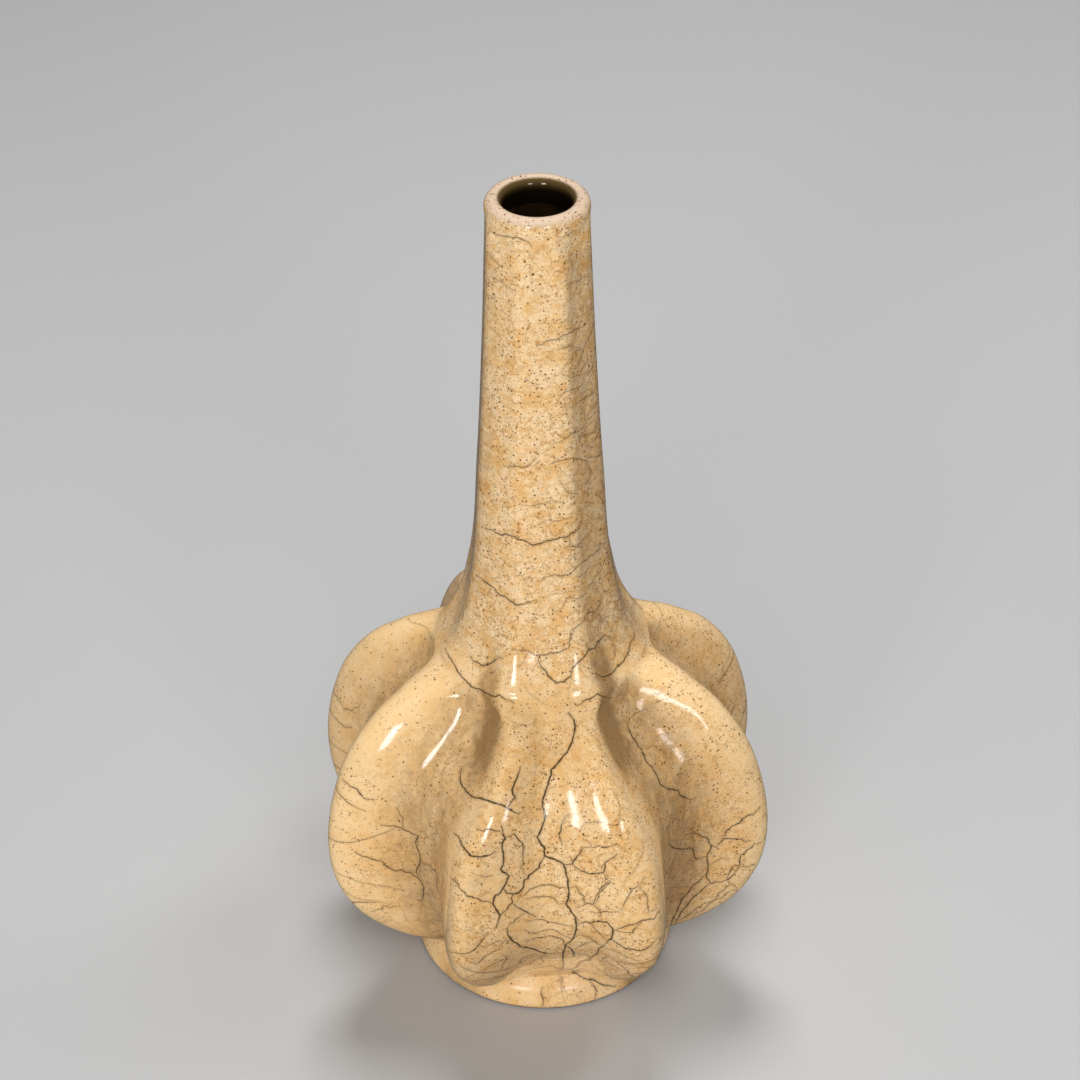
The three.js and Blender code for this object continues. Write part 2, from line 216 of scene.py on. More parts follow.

# Cracks read from the photograph: kind, then pixels across and down along the line
CRACKS = {
    "front_stem": [BOLD, (568, 712), (574, 720), (575, 727), (572, 742), (563, 756), (551, 770),
        (549, 781), (544, 796), (545, 817), (542, 827), (537, 837), (544, 847), (545, 856), (556, 860),
        (563, 864), (568, 880), (569, 891), (566, 904), (573, 914), (576, 923), (575, 934), (566, 944),
        (563, 954), (561, 971)],
    "left_stem": [BOLD, (501, 825), (505, 838), (502, 848), (501, 870), (509, 876), (503, 888),
        (495, 896), (493, 904), (500, 916), (496, 928)],
    "stem_link_high": [FINE, (505, 838), (514, 834), (522, 843), (523, 855)],
    "stem_link_low": [BOLD, (545, 856), (539, 868), (529, 875), (524, 881), (523, 888), (513, 894),
        (503, 888)],
    "panel_hook": [BOLD, (513, 894), (512, 903), (500, 916)],
    "panel_spur": [FINE, (512, 903), (521, 909), (530, 914), (536, 917)],
    "panel_base": [BOLD, (507, 928), (511, 939), (521, 947), (536, 950), (546, 954), (561, 952)],
    "panel_arch": [FINE, (525, 941), (536, 938), (552, 936), (563, 940), (565, 946)],
    "panel_thread": [PALE, (524, 899), (534, 897), (545, 896), (554, 898), (559, 904), (566, 904)],
    "panel_tie": [FINE, (525, 913), (516, 919), (510, 924), (507, 928)],
    "right_cell": [PALE, (604, 873), (605, 877), (610, 881), (600, 892), (596, 897), (593, 904),
        (586, 904), (582, 906), (574, 907)],
    "base_drop": [BOLD, (566, 946), (572, 950), (574, 953), (573, 957)],
    "base_cell": [FINE, (574, 953), (581, 954), (588, 955), (591, 960), (581, 961), (578, 965),
        (572, 969), (560, 969)],
    "base_sweep": [FINE, (560, 969), (551, 969), (538, 972), (527, 974), (518, 980), (508, 985)],
    "panel_arc": [PALE, (518, 838), (523, 846), (523, 858), (521, 868), (525, 875)],
    "left_crossing": [BOLD, (461, 768), (460, 778), (463, 787), (468, 793), (477, 798), (486, 800),
        (495, 803), (504, 806), (511, 810), (520, 814)],
    "left_drop": [BOLD, (520, 766), (519, 773), (515, 782), (515, 798), (508, 808)],
    "left_hem": [FINE, (476, 829), (483, 831), (492, 830), (500, 831), (504, 837)],
    "left_upper_loop": [BOLD, (454, 833), (458, 836), (463, 847), (471, 856), (481, 857), (490, 855),
        (498, 850)],
    "left_middle_loop": [FINE, (449, 874), (456, 882), (461, 890), (467, 896), (475, 898), (482, 901),
        (493, 904)],
    "left_thread": [PALE, (478, 876), (486, 877), (494, 875)],
    "left_low_loop": [BOLD, (424, 888), (429, 892), (434, 897), (441, 898), (443, 905), (446, 916),
        (448, 925), (452, 930), (459, 935), (467, 935), (475, 933), (486, 931), (496, 928), (507, 928)],
    "right_start": [BOLD, (564, 864), (572, 864), (576, 858), (583, 848)],
    "right_rise": [PALE, (583, 848), (590, 847), (598, 846), (612, 846), (620, 845)],
    "right_low_arch": [FINE, (572, 864), (581, 871), (591, 874), (604, 872), (605, 863), (613, 858),
        (618, 853)],
    "right_drop": [PALE, (606, 873), (608, 883), (600, 889), (596, 903)],
    "right_loop": [PALE, (568, 887), (577, 887), (584, 896), (585, 903), (593, 905), (600, 912),
        (602, 921)],
    "right_chain": [BOLD, (576, 923), (590, 923), (599, 921), (607, 922), (613, 929), (611, 939),
        (606, 944)],
    "right_chain_end": [FINE, (606, 944), (599, 948), (591, 958), (581, 962), (577, 968)],
    "right_inner": [FINE, (577, 935), (588, 937), (597, 944), (604, 947)],
    "right_strand": [FINE, (590, 924), (599, 933), (607, 941)],
    "right_edge_high": [FINE, (613, 931), (622, 928), (629, 925), (639, 922), (646, 920), (655, 918),
        (660, 910)],
    "right_edge_low": [BOLD, (606, 940), (613, 940), (618, 944), (626, 949), (636, 950), (646, 949),
        (652, 944), (656, 940)],
    "right_cross": [PALE, (590, 912), (600, 913), (612, 912), (620, 912)],
    "base_right": [FINE, (563, 954), (572, 956), (580, 957), (588, 955), (591, 959), (604, 966),
        (616, 974), (629, 980)],
    "base_left_arc": [FINE, (522, 972), (536, 968), (552, 966), (563, 968), (568, 969)],
    "base_right_arc": [FINE, (560, 969), (572, 970), (584, 978), (599, 983), (616, 986)],
    "panel_high": [FINE, (568, 814), (562, 824), (559, 834), (562, 846)],
    "foot_left": [FINE, (542, 985), (541, 993), (543, 1000), (542, 1007)],
    "foot_middle": [PALE, (562, 978), (564, 986), (562, 994)],
    "foot_right": [FINE, (590, 980), (594, 986), (596, 993), (594, 1000)],
    "lobe_left_ring": [FINE, (381, 825), (390, 826), (398, 827), (405, 830), (411, 833), (418, 836),
        (416, 841), (417, 848), (420, 855), (420, 863), (417, 868), (418, 878)],
    "lobe_left_tie": [PALE, (396, 807), (403, 818), (402, 829)],
    "lobe_left_shelf": [FINE, (354, 851), (362, 856), (372, 859), (383, 862), (388, 867), (395, 871),
        (402, 870), (410, 872), (418, 878), (422, 883), (424, 888), (423, 896), (422, 900), (418, 901)],
    "lobe_left_far": [PALE, (422, 863), (429, 865), (435, 871), (437, 883), (441, 897)],
    "lobe_left_stream": [FINE, (377, 893), (383, 895), (390, 897), (398, 898), (402, 894), (408, 890),
        (411, 892), (418, 901), (420, 904), (425, 912), (429, 922), (434, 932), (437, 941)],
    "lobe_left_low": [PALE, (370, 912), (377, 910), (382, 909), (384, 906), (393, 907), (401, 907)],
    "lobe_left_foot": [PALE, (402, 920), (408, 918), (413, 919), (419, 926), (425, 933), (432, 940)],
    "lobe_left_crest": [FINE, (342, 778), (349, 785), (357, 789), (360, 794), (366, 799), (374, 800)],
    "lobe_right_stem": [FINE, (630, 718), (628, 727), (631, 734), (636, 742), (642, 750), (646, 761),
        (652, 767), (658, 778), (660, 784), (668, 789), (678, 790), (681, 796), (690, 799), (690, 804)],
    "lobe_right_top": [PALE, (630, 718), (634, 714), (639, 712), (647, 710)],
    "lobe_right_twig": [PALE, (646, 749), (652, 746), (658, 747)],
    "lobe_right_shelf": [FINE, (669, 842), (672, 847), (679, 849), (686, 849), (692, 848), (694, 856),
        (696, 859), (703, 857), (708, 856)],
    "lobe_right_chain": [FINE, (685, 835), (694, 833), (701, 836), (708, 839), (711, 845), (710, 851),
        (707, 856), (708, 863), (708, 870), (706, 875), (710, 882), (713, 883), (721, 882), (727, 880),
        (732, 876), (739, 867)],
    "lobe_right_ties": [FINE, (711, 845), (717, 848), (721, 842), (724, 839), (732, 839), (741, 839),
        (750, 841)],
    "lobe_right_rise": [FINE, (760, 808), (753, 814), (742, 819), (735, 825), (730, 828), (725, 835),
        (722, 841)],
    "lobe_right_rim": [FINE, (762, 842), (754, 844), (747, 850), (741, 855), (740, 865), (732, 868),
        (727, 880)],
    "lobe_right_rim_low": [FINE, (740, 866), (748, 867), (755, 864)],
    "lobe_right_twist": [PALE, (730, 859), (721, 858), (713, 863), (708, 866)],
    "lobe_right_stream_a": [FINE, (706, 875), (699, 881), (692, 887), (685, 896), (680, 904), (676, 913),
        (671, 925)],
    "lobe_right_stream_b": [FINE, (710, 883), (703, 889), (695, 896), (688, 904), (680, 914), (675, 924)],
    "lobe_right_stream_c": [PALE, (727, 880), (730, 884), (724, 890), (716, 899), (703, 904), (692, 912),
        (680, 921)],
    "lobe_right_stream_d": [PALE, (738, 890), (726, 894), (717, 899), (703, 910), (691, 916)],
    "lobe_right_stream_e": [PALE, (694, 857), (687, 864), (680, 866), (674, 875), (668, 887), (664, 901)],
    "collar_left_edge": [FINE, (445, 648), (449, 657), (455, 666), (460, 674), (467, 682), (472, 687),
        (479, 689), (486, 693), (491, 696), (499, 695), (505, 699), (514, 703)],
    "collar_right_edge": [FINE, (576, 706), (584, 701), (590, 699), (598, 694), (604, 697), (612, 698)],
    "collar_left_cup": [FINE, (470, 656), (477, 662), (484, 666), (491, 663), (498, 657), (503, 659)],
    "collar_middle": [FINE, (537, 656), (541, 667), (548, 676), (557, 683), (564, 682), (570, 677),
        (572, 668), (582, 659), (588, 651), (597, 642), (604, 635), (611, 637)],
    "collar_right": [FINE, (635, 636), (630, 643), (625, 658), (617, 667), (611, 674), (603, 677),
        (594, 673)],
    "neck_low_ring": [THIN, (607, 590), (602, 596), (598, 607), (596, 612), (589, 612), (585, 617),
        (582, 623), (575, 628), (570, 632), (570, 640), (569, 648), (560, 652), (551, 653), (543, 655),
        (536, 656), (529, 652), (523, 650), (511, 650)],
    "neck_sag": [FINE, (476, 575), (485, 582), (494, 588), (500, 595), (509, 600), (516, 605), (524, 604),
        (532, 602)],
    "neck_right_climb": [THIN, (606, 543), (599, 544), (598, 551), (590, 556), (583, 562), (576, 568),
        (569, 575), (560, 576), (550, 576), (542, 579)],
    "neck_right_fold": [FAINT, (607, 558), (603, 566), (596, 576), (589, 586), (584, 595), (578, 599),
        (569, 597), (564, 604), (557, 611), (552, 612)],
    "neck_smile": [FINE, (485, 528), (494, 531), (501, 535), (506, 534), (515, 537), (523, 540),
        (529, 543), (537, 544), (546, 541), (557, 539), (569, 536), (575, 532), (579, 528), (582, 520)],
    "neck_pocket": [THIN, (570, 536), (570, 546), (578, 547), (583, 540), (589, 533), (593, 529)],
    "neck_curl": [FAINT, (538, 524), (547, 520), (556, 521), (565, 519), (573, 517)],
    "neck_wave": [FAINT, (519, 504), (528, 506), (540, 504), (551, 500), (558, 502), (566, 504)],
    "neck_hook": [FAINT, (581, 512), (585, 507), (591, 503), (596, 501)],
    "neck_shelf": [THIN, (503, 466), (514, 466), (521, 468), (528, 466), (534, 461), (536, 457)],
    "neck_stroke": [THIN, (550, 464), (556, 461), (564, 460), (572, 458), (583, 460), (590, 462)],
    "neck_slash": [THIN, (553, 443), (563, 440), (571, 434), (578, 431), (584, 427), (587, 422)],
    "neck_high_slash": [THIN, (536, 346), (543, 344), (551, 340), (560, 338), (568, 334), (573, 332),
        (580, 328), (586, 322)],
    "neck_high_hook": [FAINT, (561, 373), (567, 376), (574, 377), (580, 375), (587, 362), (592, 355)],
    "neck_high_right": [FAINT, (590, 273), (582, 278), (573, 282), (568, 286)],
    "neck_high_left": [FAINT, (490, 275), (496, 279), (504, 284), (511, 289), (516, 290)],
    "neck_top_left": [THIN, (488, 252), (494, 260), (503, 268)],
    "mouth_left": [THIN, (489, 228), (496, 235), (505, 236), (513, 238), (521, 239), (528, 242),
        (532, 247)],
    "mouth_right": [FAINT, (556, 242), (563, 237), (570, 233), (577, 231)],
}

# Patches of pitted glaze, as x, y, z, and how they fade with the distance
PITTED_SPOTS = [(11.0, -53.0, 94.0), (33.5, -27.0, 92.5)]
PITTED_FADE = (12.0, 3.0)

# Cracks on the mesh in millimetres: too short, too broken, taper, reach from a face, value elsewhere
CRACK_SHORTEST = 1.0
CRACK_GAP = 6.0
CRACK_TAPER = 4.0
CRACK_REACH = 1.7
CRACK_AWAY = 9.0
CRACK_LAYERS = ("crack_near", "crack_next")

# How cracks grow: step and meeting distance in millimetres, bends, turns and pull back
CRACK_SEED = 7
GROW_PACE = 0.8
GROW_MEETS = 0.6
BEND_KEPT = 0.5
BEND_SWAY = 0.10
TURN_CHANCE = 0.14
TURN_SWAY = 0.65
PULL_BACK = 0.06

# Fields of grown cracks, in degrees round and millimetres. Those with clear start that far from the others
# and run both ways. First the front panel, the lobes beside it, the collar and the neck, then the back.
Field = namedtuple("Field", "phase height count slant reach kind clear", defaults=[None])
GROWN = [
    Field((-22, 22), (16, 76), 150, 40, 9, FINE, 2.8),
    Field((-22, 22), (70, 92), 26, 40, 10, FAINT, 4.0),
    Field((24, 72), (14, 60), 110, 50, 8, THIN, 3.2),
    Field((-66, -28), (14, 50), 60, 45, 8, FAINT, 4.0),
    Field((-20, 60), (104, 124), 60, 40, 6, FAINT, 3.4),
    Field((16, 80), (122, 215), 130, 38, 6, THIN, 2.8),
    Field((75, 285), (12, 62), 95, 65, 34, FINE),
    Field((75, 285), (12, 90), 60, 30, 22, PALE),
    Field((75, 285), (14, 66), 150, 45, 9, THIN, 3.2),
    Field((95, 265), (62, 106), 18, 40, 20, FAINT),
    Field((118, 242), (108, 240), 24, 15, 20, FAINT),
    Field((95, 265), (108, 190), 60, 50, 8, FAINT, 3.2),
]


def radius_at(points, height):
    """Smooth curve through [radius, height] points, with slopes from neighbouring points."""
    p = np.asarray(points, float)
    r, z = p[:, 0], p[:, 1]
    chord = np.diff(r) / np.diff(z)
    gap = np.diff(z)
    slope = np.empty(len(r))
    slope[0], slope[-1] = chord[0], chord[-1]
    slope[1:-1] = (chord[:-1] * gap[1:] + chord[1:] * gap[:-1]) / (gap[:-1] + gap[1:])
    i = np.clip(np.searchsorted(z, height, side="right") - 1, 0, len(gap) - 1)
    t = np.clip((height - z[i]) / gap[i], 0, 1)
    return ((1 + 2 * t) * (1 - t) ** 2 * r[i] + t * (1 - t) ** 2 * gap[i] * slope[i]
            + t * t * (3 - 2 * t) * r[i + 1] + t * t * (t - 1) * gap[i] * slope[i + 1])


def eased(value, low, high):
    """Smooth step from 0 at low to 1 at high."""
    t = np.clip((value - low) / (high - low), 0, 1)
    return t * t * (3 - 2 * t)


def from_front(phase):
    """Angle from the middle of the front panel, which is phase 0."""
    return np.mod(phase + math.pi, 2 * math.pi) - math.pi


def on_panel(phase):
    return np.abs(from_front(phase)) < NEAR_RIDGE


def lobe_share(phase, height):
    """Share of the way from valley to ridge."""
    girth, foot, neck = (np.where(on_panel(phase), p, r) for p, r in zip(PANEL_SHARPNESS, RIDGE_SHARPNESS))
    body = foot + (girth - foot) * eased(height, FOOT_HEIGHT + 14, GIRTH_LEVEL - 2)
    power = body + (neck - body) * eased(height, NECK_BASE - 6, NECK_BASE)
    return ((1 - np.cos(LOBES * phase)) / 2) ** power


def lobe_lean(phase, height):
    """How far the front panel's sides turn: towards the middle above, apart and notched below."""
    away = from_front(phase)
    pull = np.where(np.abs(away) < FAR_RIDGE, np.sin(math.pi * away / FAR_RIDGE), 0)
    middle = np.where(on_panel(phase), (1 + np.cos(LOBES * away)) / 2, 0)
    low = 1 - eased(height, FOOT_HEIGHT + 14, GIRTH_LEVEL + 12)
    above = eased(height, NECK_BASE - 6, NECK_BASE - 1)
    gathered = eased(height, GATHER_START, NECK_BASE - 5) * (1 - above)
    return (SPREAD * low - GATHER * gathered) * pull + NOTCH * low * middle


def between(value, low, high, soft):
    """Smooth 1 from low to high that fades over soft on either side."""
    return eased(value, low - soft, low) * (1 - eased(value, high, high + soft))


def painted_shading_at(phase, height):
    """Painted shade in valleys, hollows, above the foot, on the panel and the neck's sides, less painted
    light on crests, at a phase in radians and a height in millimetres.
    """
    turned = np.degrees(from_front(phase))
    away = np.abs(turned)
    share = lobe_share(phase, height)
    body = 1 - eased(height, NECK_BASE - 6, NECK_BASE)
    beside = eased(away, *SIDE_START) * body
    more = 1 + RIGHT_MORE * between(turned, *RIGHT_VALLEY)
    valley = (1 - eased(share, 0.0, 0.75)) * beside * more
    hollow = between(away, *HOLLOW_ANGLE) * between(height, *HOLLOW_HEIGHT) * more
    under = between(height, *UNDER_HEIGHT) * eased(height, FOOT_HEIGHT - 1, FOOT_HEIGHT)
    crest = eased(share, 0.5, 1.0) * beside
    panel = between(turned, *PANEL_ANGLE) * between(height, *PANEL_HEIGHT)
    sides = between(turned, *NECK_RIGHT) + NECK_LEFT_SHARE * between(-turned, *NECK_LEFT)
    shade = sides * between(height, *NECK_HEIGHT)
    return (PAINTED_SHADE_VALLEY * valley + PAINTED_SHADE_HOLLOW * hollow + PAINTED_SHADE_UNDER * under + PAINTED_SHADE_PANEL * panel
            + PAINTED_SHADE_NECK * shade - PAINTED_LIGHT_CREST * crest)


def placed(radius, phase, height):
    """Points at a radius, at the angle that a phase has at that height."""
    angle = phase + lobe_lean(phase, height)
    return np.stack([radius * np.sin(angle), -radius * np.cos(angle), height + 0 * angle], -1)


def outer_radius(phase, height):
    low = np.where(on_panel(phase), radius_at(PANEL, height), radius_at(VALLEY, height))
    return low + (radius_at(RIDGE, height) - low) * lobe_share(phase, height)


def outer_point(phase, height):
    return placed(outer_radius(phase, height), phase, height)


def inner_point(phase, height):
    wall = BODY_WALL + (NECK_WALL - BODY_WALL) * eased(height, GIRTH_LEVEL, NECK_BASE)
    depth = radius_at(RIDGE, height) - radius_at(VALLEY, height)
    thicker = (1 - INNER_FOLLOW) * depth * lobe_share(phase, height)
    radius = outer_radius(phase, height) - wall - thicker
    return placed(np.maximum(radius, MOUTH_BORE_RADIUS), phase, height)


def with_normal(point, phase, height, step=1e-3):
    """Points of a surface given by angle and height, and its unit normals there."""
    around = point(phase + step, height) - point(phase - step, height)
    along = point(phase, height + step) - point(phase, height - step)
    normal = np.cross(around, along)
    return point(phase, height), normal / np.linalg.norm(normal, axis=-1, keepdims=True)


def sheet_of(point, heights):
    """Rings of points and normals of such a surface."""
    angle = np.linspace(0, 2 * math.pi, AROUND, endpoint=False)
    return with_normal(point, *np.meshgrid(angle, heights))


def linked(name, data):
    """New object in the scene."""
    thing = bpy.data.objects.new(name, data)
    bpy.context.scene.collection.objects.link(thing)
    return thing


def ring_faces(rings, caps):
    """Faces between rings of points; the last ring joins the first unless caps close the ends."""
    faces = []
    for i in range(rings - 1 if caps else rings):
        low = i * AROUND
        high = (i + 1) % rings * AROUND
        for k in range(AROUND):
            n = (k + 1) % AROUND
            faces.append((low + k, low + n, high + n, high + k))
    if caps:
        faces.append(tuple(range(AROUND - 1, -1, -1)))
        faces.append(tuple((rings - 1) * AROUND + k for k in range(AROUND)))
    return faces


def mesh_piece(name, node, grids, caps=False, inside_from=None):
    """Closed body from grids of rings joined in order; faces from ring inside_from on are the inside."""
    points = np.concatenate([g[0] for g in grids])
    normals = np.concatenate([g[1] for g in grids])
    mesh = bpy.data.meshes.new(name)
    mesh.from_pydata((points.reshape(-1, 3) * MM).tolist(), [], ring_faces(len(points), caps))
    mesh.polygons.foreach_set("use_smooth", [True] * len(mesh.polygons))
    if inside_from is not None:
        first = inside_from * AROUND
        mesh.polygons.foreach_set("material_index", [0] * first + [1] * (len(mesh.polygons) - first))
    mesh.update()
    mesh.normals_split_custom_set_from_vertices(normals.reshape(-1, 3).tolist())
    phase = np.linspace(0, 2 * math.pi, AROUND, endpoint=False)
    # Painted shade and painted light amounts on the points, read by the glaze
    painted_shading = mesh.attributes.new("painted_shading", "FLOAT", "POINT")
    painted_shading.data.foreach_set("value", painted_shading_at(phase, points[..., 2]).ravel())
    piece = linked(name, mesh)
    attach(piece, "root")
    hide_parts(node)
    return piece


def wall_piece(name, node, bottom, top, spacing):
    steps = max(2, round((top - bottom) / spacing))
    heights = np.linspace(bottom, top, steps + 1)
    outside = sheet_of(outer_point, heights)
    points, normals = sheet_of(inner_point, heights[::-1])
    return mesh_piece(name, node, [outside, (points, -normals)], inside_from=len(heights))


def turned_piece(name, node, profile):
    """Round body turned about the axis from a closed [radius, height] profile, counter-clockwise."""
    p = np.asarray(profile, float)
    angle = np.linspace(0, 2 * math.pi, AROUND, endpoint=False)
    tangent = np.roll(p, -1, 0) - np.roll(p, 1, 0)
    out = np.stack([tangent[:, 1], -tangent[:, 0]], -1)
    out /= np.linalg.norm(out, axis=-1, keepdims=True) + 1e-12

    def ring(q):
        across, up = q[:, None, 0], q[:, None, 1]
        return np.stack([across * np.sin(angle), -across * np.cos(angle), up + 0 * angle], -1)

    return mesh_piece(name, node, [(ring(p), ring(out))])


def rounded(points, radius, steps=5):
    """Closed profile with each corner rounded by a small arc."""
    p = np.asarray(points, float)
    result = []
    for i in range(len(p)):
        before, here, after = p[i - 1], p[i], p[(i + 1) % len(p)]
        u, v = before - here, after - here
        reach = min(radius, np.linalg.norm(u) * 0.45, np.linalg.norm(v) * 0.45)
        start = here + u / np.linalg.norm(u) * reach
        end = here + v / np.linalg.norm(v) * reach
        for t in np.linspace(0, 1, steps):
            result.append((1 - t) ** 2 * start + 2 * t * (1 - t) * here + t * t * end)
    return result


def foot_profile():
    return rounded([
        [FOOT_BORE_RADIUS + 0.8, 0], [FOOT_RADIUS - 0.8, 0], [FOOT_RADIUS, 1.5],
        [FOOT_RADIUS - 0.3, 3.0], [FOOT_RADIUS - 1.8, 6.5],
        [FOOT_TOP_RADIUS, FOOT_HEIGHT], [FOOT_BORE_RADIUS, FOOT_HEIGHT], [FOOT_BORE_RADIUS, 1],
    ], 0.8)


def lip_piece(name, node):
    """Lip that runs on from the neck's facets, grows round and turns into the bore on a half round."""
    crown = (LIP_RADIUS - MOUTH_BORE_RADIUS) / 2
    crown_height = MOUTH_TOP - crown

    def rising(phase, height):
        facets = outer_radius(phase, NECK_TOP)
        radius = facets + (LIP_RADIUS - facets) * eased(height, NECK_TOP, crown_height)
        return placed(radius, phase, height)

    def turning(phase, angle):
        radius = MOUTH_BORE_RADIUS + crown + crown * np.cos(angle)
        return placed(radius, phase, crown_height + crown * np.sin(angle))

    def bore(phase, depth):
        return placed(MOUTH_BORE_RADIUS + 0 * phase, phase, crown_height - depth)

    return mesh_piece(name, node, [
        sheet_of(rising, np.linspace(NECK_TOP, crown_height, 13)),
        sheet_of(turning, np.linspace(0, math.pi, 33)[1:]),
        sheet_of(bore, np.linspace(0, crown_height - NECK_TOP, 5)[1:]),
    ])


class Nodes:
    """Short way to add and link shader nodes."""

    def __init__(self, name):
        self.material = bpy.data.materials.new(name)
        self.material.use_nodes = True
        self.tree = self.material.node_tree
        self.shader = self.tree.nodes["Principled BSDF"]

    def add(self, kind, inputs=None, **props):
        node = self.tree.nodes.new(kind)
        for key, value in props.items():
            setattr(node, key, value)
        for key, value in (inputs or {}).items():
            if isinstance(value, bpy.types.NodeSocket):
                self.tree.links.new(value, node.inputs[key])
            else:
                node.inputs[key].default_value = value
        return node

    def math(self, op, a, b=0.0):
        return self.add("ShaderNodeMath", {0: a, 1: b}, operation=op).outputs[0]

    def vector(self, op, a, b=(0, 0, 0), out=0):
        return self.add("ShaderNodeVectorMath", {0: a, 1: b}, operation=op).outputs[out]

    def band(self, value, low, high, to_low=0.0, to_high=1.0):
        """Smooth fade while the value goes from low to high."""
        inputs = {"Value": value, "From Min": low, "From Max": high, "To Min": to_low, "To Max": to_high}
        return self.add("ShaderNodeMapRange", inputs, interpolation_type="SMOOTHSTEP").outputs[0]

    def mix(self, share, a, b):
        return self.add("ShaderNodeMix", {"Factor": share, 6: a, 7: b}, data_type="RGBA").outputs[2]

    def noise(self, vector, pattern, out="Fac"):
        scale, detail, rough = pattern
        inputs = {"Vector": vector, "Scale": scale, "Detail": detail, "Roughness": rough}
        return self.add("ShaderNodeTexNoise", inputs).outputs[out]

    def folded(self, op, values):
        result = values[0]
        for value in values[1:]:
            result = self.math(op, result, value)
        return result

    def times(self, *values):
        return self.folded("MULTIPLY", values)

    def most(self, *values):
        return self.folded("MAXIMUM", values)

    def level(self, value, fade, to_low=0.0, to_high=1.0):
        """The same over a fade in millimetres."""
        return self.band(value, fade[0] * MM, fade[1] * MM, to_low, to_high)

    def coat(self, under, share, paint):
        """A share of paint over a colour."""
        return self.mix(share, under, rgb(*paint))


def rgb(red, green, blue):
    """Linear colour from 0 to 255 display values."""
    lin = [((c / 255 + 0.055) / 1.055) ** 2.4 if c > 10 else c / 255 / 12.92 for c in (red, green, blue)]
    return (*lin, 1.0)


def warped(n, place, wander):
    """Coordinates pushed about by soft noise, so that lines wander."""
    scale, amount = wander
    cloud = n.noise(place, (scale, 3.0, 0.5), "Color")
    shift = n.vector("SUBTRACT", cloud, (0.5, 0.5, 0.5))
    scaled = n.add("ShaderNodeVectorMath", {0: shift, "Scale": amount}, operation="SCALE").outputs[0]
    return n.vector("ADD", place, scaled)


def network(n, net):
    """Net of hairlines that wander: 1 on a line, 0 away from it."""
    cells, width, wander = net
    inputs = {"Vector": warped(n, n.place, wander), "Scale": cells, "Randomness": 1.0}
    edge = n.add("ShaderNodeTexVoronoi", inputs, feature="DISTANCE_TO_EDGE").outputs["Distance"]
    return n.band(edge, 0.0, width * cells, 1.0, 0.0)


def drawn_cracks(n):
    """Cracks held on the mesh: the line itself and the stain beside it, from 0 to 1."""
    line, stain = 0.0, 0.0
    for name in CRACK_LAYERS:
        held = n.add("ShaderNodeAttribute", attribute_name=name).outputs["Vector"]
        side, width, tone = n.add("ShaderNodeSeparateXYZ", {0: held}).outputs
        beyond = n.math("SUBTRACT", n.math("ABSOLUTE", side), width)
        there = n.times(n.band(width, 0.01, 0.05), tone)
        line = n.most(line, n.times(n.band(beyond, -0.10, 0.10, 1.0, 0.0), there))
        stain = n.most(stain, n.times(n.band(beyond, 0.0, 0.9, 1.0, 0.0), there))
    return line, stain


def specks(n, kind, share):
    """Iron specks of uneven size in a share of the cells, and the rusty halo round them."""
    cells, size, start, wander = kind
    moved = n.vector("ADD", warped(n, n.place, wander), (start, start, start))
    inputs = {"Vector": moved, "Scale": cells, "Randomness": 1.0}
    dots = n.add("ShaderNodeTexVoronoi", inputs, feature="F1")
    draw = n.add("ShaderNodeSeparateColor", {0: dots.outputs["Color"]}).outputs
    there = n.math("GREATER_THAN", draw[0], n.math("SUBTRACT", 1.0, share))
    radius = n.band(draw[1], 0.0, 1.0, size * cells * 0.35, size * cells)
    beyond = n.math("SUBTRACT", dots.outputs["Distance"], radius)
    dot = n.times(n.band(beyond, -0.03, 0.03, 1.0, 0.0), there)
    halo = n.times(n.band(beyond, 0.0, size * cells * 1.2, 1.0, 0.0), there)
    return dot, halo


def pitted_patches(n):
    """Patches of pitted glaze beside the ridges, from 0 to 1."""
    result = 0.0
    for spot in PITTED_SPOTS:
        centre = tuple(value * MM for value in spot)
        away = n.vector("DISTANCE", n.place, centre, "Value")
        result = n.most(result, n.level(away, PITTED_FADE))
    return result


class Glaze(Nodes):
    """Nodes with the patterns and masks that the layers of the glaze share."""

    def __init__(self, name):
        super().__init__(name)
        self.place = self.add("ShaderNodeTexCoord").outputs["Object"]
        self.across, self.back, self.height = self.add("ShaderNodeSeparateXYZ", {0: self.place}).outputs
        self.on_neck = self.level(self.height, NECK_FADE)
        above_foot = self.level(self.height, BASE_FADE, 0.6, 1.0)
        in_front = self.times(self.level(self.back, FRONT_FADE), above_foot)
        self.rich = self.most(self.on_neck, in_front, self.level(self.across, SIDE_FADE, 0.45, 0.85))
        self.wander = warped(self, self.place, WANDER)
        self.cloud = self.noise(self.wander, CLOUD)
        self.blotch = self.noise(self.wander, BLOTCH)
        self.cluster = self.noise(self.wander, CLUSTER)
        self.fine = self.noise(self.place, RUST)

    def richer(self, low, high):
        return self.band(self.rich, 0.4, 1.0, low, high)


